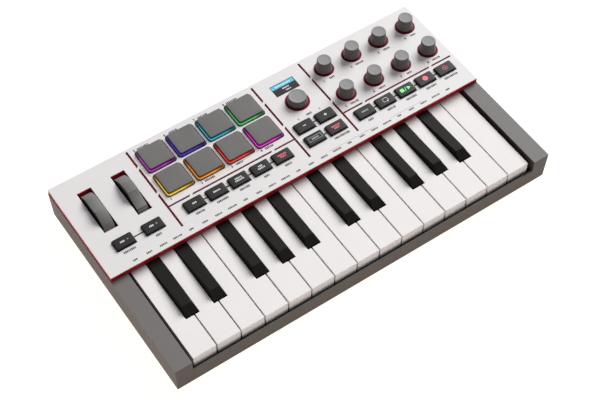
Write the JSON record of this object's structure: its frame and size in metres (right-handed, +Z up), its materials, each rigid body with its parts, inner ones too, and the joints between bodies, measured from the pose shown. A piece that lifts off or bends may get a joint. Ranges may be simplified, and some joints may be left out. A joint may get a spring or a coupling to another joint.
{
  "type": "midi keyboard",
  "caption": "Compact MIDI controller keyboard with piano keys, drum pads, turning knobs, two wheels, buttons and a small display.",
  "frame": {"origin": "centre of the footprint, level with the underside of the rubber feet", "axes": "+X along the row of keys towards the high notes, +Y from the player towards the rear sockets, +Z up"},
  "size_m": [0.3272, 0.1786, 0.043],
  "materials": {
    "case_grey": "satin",
    "chassis_red": "satin",
    "plate_white": "satin",
    "display": "gloss",
    "board": "satin",
    "rubber_black": "matt",
    "screw_steel": "satin",
    "key_white": "semi-gloss",
    "key_black": "satin",
    "wheel_grey": "matt",
    "knob_grey": "matt",
    "button_black": "satin",
    "pad_grey": "matt"
  },
  "bodies": {
    "case": {"bottom_case": "case_grey", "upper_chassis": "chassis_red", "top_panel": "plate_white", "display_module": "display", "main_board": "board", "rubber_feet": "rubber_black", "case_screws": "screw_steel"},
    "white_key_c3": {"white_key_c3": "key_white"},
    "black_key_c3_sharp": {"black_key_c3_sharp": "key_black"},
    "white_key_d3": {"white_key_d3": "key_white"},
    "black_key_d3_sharp": {"black_key_d3_sharp": "key_black"},
    "white_key_e3": {"white_key_e3": "key_white"},
    "white_key_g4": {"white_key_g4": "key_white"},
    "black_key_g4_sharp": {"black_key_g4_sharp": "key_black"},
    "pitch_wheel": {"pitch_wheel": "wheel_grey"},
    "mod_wheel": {"mod_wheel": "wheel_grey"},
    "pad_mat": {"pad_mat": "pad_grey"},
    "encoder_knob": {"encoder_knob": "knob_grey"},
    "knob_1": {"knob_1": "knob_grey"},
    "knob_8": {"knob_8": "knob_grey"},
    "octave_down_button": {"octave_down_button": "button_black"},
    "minus_button": {"minus_button": "button_black"},
    "shift_button": {"shift_button": "button_black"},
    "play_button": {"play_button": "button_black"},
    "pad_bank_button": {"pad_bank_button": "button_black"},
    "white_key_f3": {"white_key_f3": "key_white"},
    "white_key_g3": {"white_key_g3": "key_white"},
    "white_key_a3": {"white_key_a3": "key_white"},
    "white_key_b3": {"white_key_b3": "key_white"},
    "white_key_c4": {"white_key_c4": "key_white"},
    "white_key_d4": {"white_key_d4": "key_white"},
    "white_key_e4": {"white_key_e4": "key_white"},
    "white_key_f4": {"white_key_f4": "key_white"},
    "white_key_a4": {"white_key_a4": "key_white"},
    "white_key_b4": {"white_key_b4": "key_white"},
    "white_key_c5": {"white_key_c5": "key_white"},
    "black_key_f3_sharp": {"black_key_f3_sharp": "key_black"},
    "black_key_g3_sharp": {"black_key_g3_sharp": "key_black"},
    "black_key_a3_sharp": {"black_key_a3_sharp": "key_black"},
    "black_key_c4_sharp": {"black_key_c4_sharp": "key_black"},
    "black_key_d4_sharp": {"black_key_d4_sharp": "key_black"},
    "black_key_f4_sharp": {"black_key_f4_sharp": "key_black"},
    "black_key_a4_sharp": {"black_key_a4_sharp": "key_black"},
    "octave_up_button": {"octave_up_button": "button_black"},
    "arpeggio_button": {"arpeggio_button": "button_black"},
    "latch_button": {"latch_button": "button_black"},
    "note_repeat_button": {"note_repeat_button": "button_black"},
    "tap_tempo_button": {"tap_tempo_button": "button_black"},
    "plus_button": {"plus_button": "button_black"},
    "program_button": {"program_button": "button_black"},
    "undo_button": {"undo_button": "button_black"},
    "loop_button": {"loop_button": "button_black"},
    "record_button": {"record_button": "button_black"},
    "automation_button": {"automation_button": "button_black"},
    "knob_2": {"knob_2": "knob_grey"},
    "knob_3": {"knob_3": "knob_grey"},
    "knob_4": {"knob_4": "knob_grey"},
    "knob_5": {"knob_5": "knob_grey"},
    "knob_6": {"knob_6": "knob_grey"},
    "knob_7": {"knob_7": "knob_grey"}
  },
  "joints": [
    {"name": "white_key_c3_press", "type": "hinge", "parent": "case", "child": "white_key_c3", "pos_m": [-0.1379, 0.007, 0.0175], "axis": [1, 0, 0], "range_deg": [0, 3], "stiffness_Nm_per_rad": 0.12, "springref_deg": -20.05},
    {"name": "black_key_c3_sharp_press", "type": "hinge", "parent": "case", "child": "black_key_c3_sharp", "pos_m": [-0.12945, 0.007, 0.0175], "axis": [1, 0, 0], "range_deg": [0, 3], "stiffness_Nm_per_rad": 0.12, "springref_deg": -20.05},
    {"name": "white_key_d3_press", "type": "hinge", "parent": "case", "child": "white_key_d3", "pos_m": [-0.1182, 0.007, 0.0175], "axis": [1, 0, 0], "range_deg": [0, 3], "stiffness_Nm_per_rad": 0.12, "springref_deg": -20.05},
    {"name": "black_key_d3_sharp_press", "type": "hinge", "parent": "case", "child": "black_key_d3_sharp", "pos_m": [-0.10655, 0.007, 0.0175], "axis": [1, 0, 0], "range_deg": [0, 3], "stiffness_Nm_per_rad": 0.12, "springref_deg": -20.05},
    {"name": "white_key_e3_press", "type": "hinge", "parent": "case", "child": "white_key_e3", "pos_m": [-0.0985, 0.007, 0.0175], "axis": [1, 0, 0], "range_deg": [0, 3], "stiffness_Nm_per_rad": 0.12, "springref_deg": -20.05},
    {"name": "white_key_g4_press", "type": "hinge", "parent": "case", "child": "white_key_g4", "pos_m": [0.0788, 0.007, 0.0175], "axis": [1, 0, 0], "range_deg": [0, 3], "stiffness_Nm_per_rad": 0.12, "springref_deg": -20.05},
    {"name": "black_key_g4_sharp_press", "type": "hinge", "parent": "case", "child": "black_key_g4_sharp", "pos_m": [0.08895, 0.007, 0.0175], "axis": [1, 0, 0], "range_deg": [0, 3], "stiffness_Nm_per_rad": 0.12, "springref_deg": -20.05},
    {"name": "pitch_wheel_turn", "type": "hinge", "parent": "case", "child": "pitch_wheel", "pos_m": [-0.1419, 0.0533, 0.015], "axis": [1, 0, 0], "range_deg": [-25, 25], "stiffness_Nm_per_rad": 0.05},
    {"name": "mod_wheel_turn", "type": "hinge", "parent": "case", "child": "mod_wheel", "pos_m": [-0.1139, 0.0533, 0.015], "axis": [-1, 0, 0], "range_deg": [-3, 52]},
    {"name": "pad_mat_press", "type": "slide", "parent": "case", "child": "pad_mat", "axis": [0, 0, -1], "range_m": [0, 0.0006], "stiffness_N_per_m": 3000, "springref_m": -0.0005},
    {"name": "encoder_knob_turn", "type": "hinge", "parent": "case", "child": "encoder_knob", "pos_m": [0.0348, 0.056, 0.0322], "axis": [0, 0, 1], "continuous": true},
    {"name": "knob_1_turn", "type": "hinge", "parent": "case", "child": "knob_1", "pos_m": [0.0704, 0.0715, 0.0322], "axis": [0, 0, 1], "continuous": true},
    {"name": "knob_8_turn", "type": "hinge", "parent": "case", "child": "knob_8", "pos_m": [0.14915, 0.0415, 0.0322], "axis": [0, 0, 1], "continuous": true},
    {"name": "octave_down_button_press", "type": "slide", "parent": "case", "child": "octave_down_button", "axis": [0, 0, -1], "range_m": [0, 0.0008], "stiffness_N_per_m": 200, "springref_m": -0.001},
    {"name": "minus_button_press", "type": "slide", "parent": "case", "child": "minus_button", "axis": [0, 0, -1], "range_m": [0, 0.0008], "stiffness_N_per_m": 200, "springref_m": -0.001},
    {"name": "shift_button_press", "type": "slide", "parent": "case", "child": "shift_button", "axis": [0, 0, -1], "range_m": [0, 0.0008], "stiffness_N_per_m": 200, "springref_m": -0.001},
    {"name": "play_button_press", "type": "slide", "parent": "case", "child": "play_button", "axis": [0, 0, -1], "range_m": [0, 0.0008], "stiffness_N_per_m": 200, "springref_m": -0.001},
    {"name": "pad_bank_button_press", "type": "slide", "parent": "case", "child": "pad_bank_button", "axis": [0, 0, -1], "range_m": [0, 0.0008], "stiffness_N_per_m": 200, "springref_m": -0.001},
    {"name": "white_key_f3_press", "type": "hinge", "parent": "case", "child": "white_key_f3", "pos_m": [-0.0788, 0.007, 0.0175], "axis": [1, 0, 0], "range_deg": [0, 3], "stiffness_Nm_per_rad": 0.12, "springref_deg": -20.05},
    {"name": "white_key_g3_press", "type": "hinge", "parent": "case", "child": "white_key_g3", "pos_m": [-0.0591, 0.007, 0.0175], "axis": [1, 0, 0], "range_deg": [0, 3], "stiffness_Nm_per_rad": 0.12, "springref_deg": -20.05},
    {"name": "white_key_a3_press", "type": "hinge", "parent": "case", "child": "white_key_a3", "pos_m": [-0.0394, 0.007, 0.0175], "axis": [1, 0, 0], "range_deg": [0, 3], "stiffness_Nm_per_rad": 0.12, "springref_deg": -20.05},
    {"name": "white_key_b3_press", "type": "hinge", "parent": "case", "child": "white_key_b3", "pos_m": [-0.0197, 0.007, 0.0175], "axis": [1, 0, 0], "range_deg": [0, 3], "stiffness_Nm_per_rad": 0.12, "springref_deg": -20.05},
    {"name": "white_key_c4_press", "type": "hinge", "parent": "case", "child": "white_key_c4", "pos_m": [0, 0.007, 0.0175], "axis": [1, 0, 0], "range_deg": [0, 3], "stiffness_Nm_per_rad": 0.12, "springref_deg": -20.05},
    {"name": "white_key_d4_press", "type": "hinge", "parent": "case", "child": "white_key_d4", "pos_m": [0.0197, 0.007, 0.0175], "axis": [1, 0, 0], "range_deg": [0, 3], "stiffness_Nm_per_rad": 0.12, "springref_deg": -20.05},
    {"name": "white_key_e4_press", "type": "hinge", "parent": "case", "child": "white_key_e4", "pos_m": [0.0394, 0.007, 0.0175], "axis": [1, 0, 0], "range_deg": [0, 3], "stiffness_Nm_per_rad": 0.12, "springref_deg": -20.05},
    {"name": "white_key_f4_press", "type": "hinge", "parent": "case", "child": "white_key_f4", "pos_m": [0.0591, 0.007, 0.0175], "axis": [1, 0, 0], "range_deg": [0, 3], "stiffness_Nm_per_rad": 0.12, "springref_deg": -20.05},
    {"name": "white_key_a4_press", "type": "hinge", "parent": "case", "child": "white_key_a4", "pos_m": [0.0985, 0.007, 0.0175], "axis": [1, 0, 0], "range_deg": [0, 3], "stiffness_Nm_per_rad": 0.12, "springref_deg": -20.05},
    {"name": "white_key_b4_press", "type": "hinge", "parent": "case", "child": "white_key_b4", "pos_m": [0.1182, 0.007, 0.0175], "axis": [1, 0, 0], "range_deg": [0, 3], "stiffness_Nm_per_rad": 0.12, "springref_deg": -20.05},
    {"name": "white_key_c5_press", "type": "hinge", "parent": "case", "child": "white_key_c5", "pos_m": [0.1379, 0.007, 0.0175], "axis": [1, 0, 0], "range_deg": [0, 3], "stiffness_Nm_per_rad": 0.12, "springref_deg": -20.05},
    {"name": "black_key_f3_sharp_press", "type": "hinge", "parent": "case", "child": "black_key_f3_sharp", "pos_m": [-0.07115, 0.007, 0.0175], "axis": [1, 0, 0], "range_deg": [0, 3], "stiffness_Nm_per_rad": 0.12, "springref_deg": -20.05},
    {"name": "black_key_g3_sharp_press", "type": "hinge", "parent": "case", "child": "black_key_g3_sharp", "pos_m": [-0.04895, 0.007, 0.0175], "axis": [1, 0, 0], "range_deg": [0, 3], "stiffness_Nm_per_rad": 0.12, "springref_deg": -20.05},
    {"name": "black_key_a3_sharp_press", "type": "hinge", "parent": "case", "child": "black_key_a3_sharp", "pos_m": [-0.02705, 0.007, 0.0175], "axis": [1, 0, 0], "range_deg": [0, 3], "stiffness_Nm_per_rad": 0.12, "springref_deg": -20.05},
    {"name": "black_key_c4_sharp_press", "type": "hinge", "parent": "case", "child": "black_key_c4_sharp", "pos_m": [0.00845, 0.007, 0.0175], "axis": [1, 0, 0], "range_deg": [0, 3], "stiffness_Nm_per_rad": 0.12, "springref_deg": -20.05},
    {"name": "black_key_d4_sharp_press", "type": "hinge", "parent": "case", "child": "black_key_d4_sharp", "pos_m": [0.03135, 0.007, 0.0175], "axis": [1, 0, 0], "range_deg": [0, 3], "stiffness_Nm_per_rad": 0.12, "springref_deg": -20.05},
    {"name": "black_key_f4_sharp_press", "type": "hinge", "parent": "case", "child": "black_key_f4_sharp", "pos_m": [0.06675, 0.007, 0.0175], "axis": [1, 0, 0], "range_deg": [0, 3], "stiffness_Nm_per_rad": 0.12, "springref_deg": -20.05},
    {"name": "black_key_a4_sharp_press", "type": "hinge", "parent": "case", "child": "black_key_a4_sharp", "pos_m": [0.11085, 0.007, 0.0175], "axis": [1, 0, 0], "range_deg": [0, 3], "stiffness_Nm_per_rad": 0.12, "springref_deg": -20.05},
    {"name": "octave_up_button_press", "type": "slide", "parent": "case", "child": "octave_up_button", "axis": [0, 0, -1], "range_m": [0, 0.0008], "stiffness_N_per_m": 200, "springref_m": -0.001},
    {"name": "arpeggio_button_press", "type": "slide", "parent": "case", "child": "arpeggio_button", "axis": [0, 0, -1], "range_m": [0, 0.0008], "stiffness_N_per_m": 200, "springref_m": -0.001},
    {"name": "latch_button_press", "type": "slide", "parent": "case", "child": "latch_button", "axis": [0, 0, -1], "range_m": [0, 0.0008], "stiffness_N_per_m": 200, "springref_m": -0.001},
    {"name": "note_repeat_button_press", "type": "slide", "parent": "case", "child": "note_repeat_button", "axis": [0, 0, -1], "range_m": [0, 0.0008], "stiffness_N_per_m": 200, "springref_m": -0.001},
    {"name": "tap_tempo_button_press", "type": "slide", "parent": "case", "child": "tap_tempo_button", "axis": [0, 0, -1], "range_m": [0, 0.0008], "stiffness_N_per_m": 200, "springref_m": -0.001},
    {"name": "plus_button_press", "type": "slide", "parent": "case", "child": "plus_button", "axis": [0, 0, -1], "range_m": [0, 0.0008], "stiffness_N_per_m": 200, "springref_m": -0.001},
    {"name": "program_button_press", "type": "slide", "parent": "case", "child": "program_button", "axis": [0, 0, -1], "range_m": [0, 0.0008], "stiffness_N_per_m": 200, "springref_m": -0.001},
    {"name": "undo_button_press", "type": "slide", "parent": "case", "child": "undo_button", "axis": [0, 0, -1], "range_m": [0, 0.0008], "stiffness_N_per_m": 200, "springref_m": -0.001},
    {"name": "loop_button_press", "type": "slide", "parent": "case", "child": "loop_button", "axis": [0, 0, -1], "range_m": [0, 0.0008], "stiffness_N_per_m": 200, "springref_m": -0.001},
    {"name": "record_button_press", "type": "slide", "parent": "case", "child": "record_button", "axis": [0, 0, -1], "range_m": [0, 0.0008], "stiffness_N_per_m": 200, "springref_m": -0.001},
    {"name": "automation_button_press", "type": "slide", "parent": "case", "child": "automation_button", "axis": [0, 0, -1], "range_m": [0, 0.0008], "stiffness_N_per_m": 200, "springref_m": -0.001},
    {"name": "knob_2_turn", "type": "hinge", "parent": "case", "child": "knob_2", "pos_m": [0.09665, 0.0715, 0.0322], "axis": [0, 0, 1], "continuous": true},
    {"name": "knob_3_turn", "type": "hinge", "parent": "case", "child": "knob_3", "pos_m": [0.1229, 0.0715, 0.0322], "axis": [0, 0, 1], "continuous": true},
    {"name": "knob_4_turn", "type": "hinge", "parent": "case", "child": "knob_4", "pos_m": [0.14915, 0.0715, 0.0322], "axis": [0, 0, 1], "continuous": true},
    {"name": "knob_5_turn", "type": "hinge", "parent": "case", "child": "knob_5", "pos_m": [0.0704, 0.0415, 0.0322], "axis": [0, 0, 1], "continuous": true},
    {"name": "knob_6_turn", "type": "hinge", "parent": "case", "child": "knob_6", "pos_m": [0.09665, 0.0415, 0.0322], "axis": [0, 0, 1], "continuous": true},
    {"name": "knob_7_turn", "type": "hinge", "parent": "case", "child": "knob_7", "pos_m": [0.1229, 0.0415, 0.0322], "axis": [0, 0, 1], "continuous": true}
  ]
}
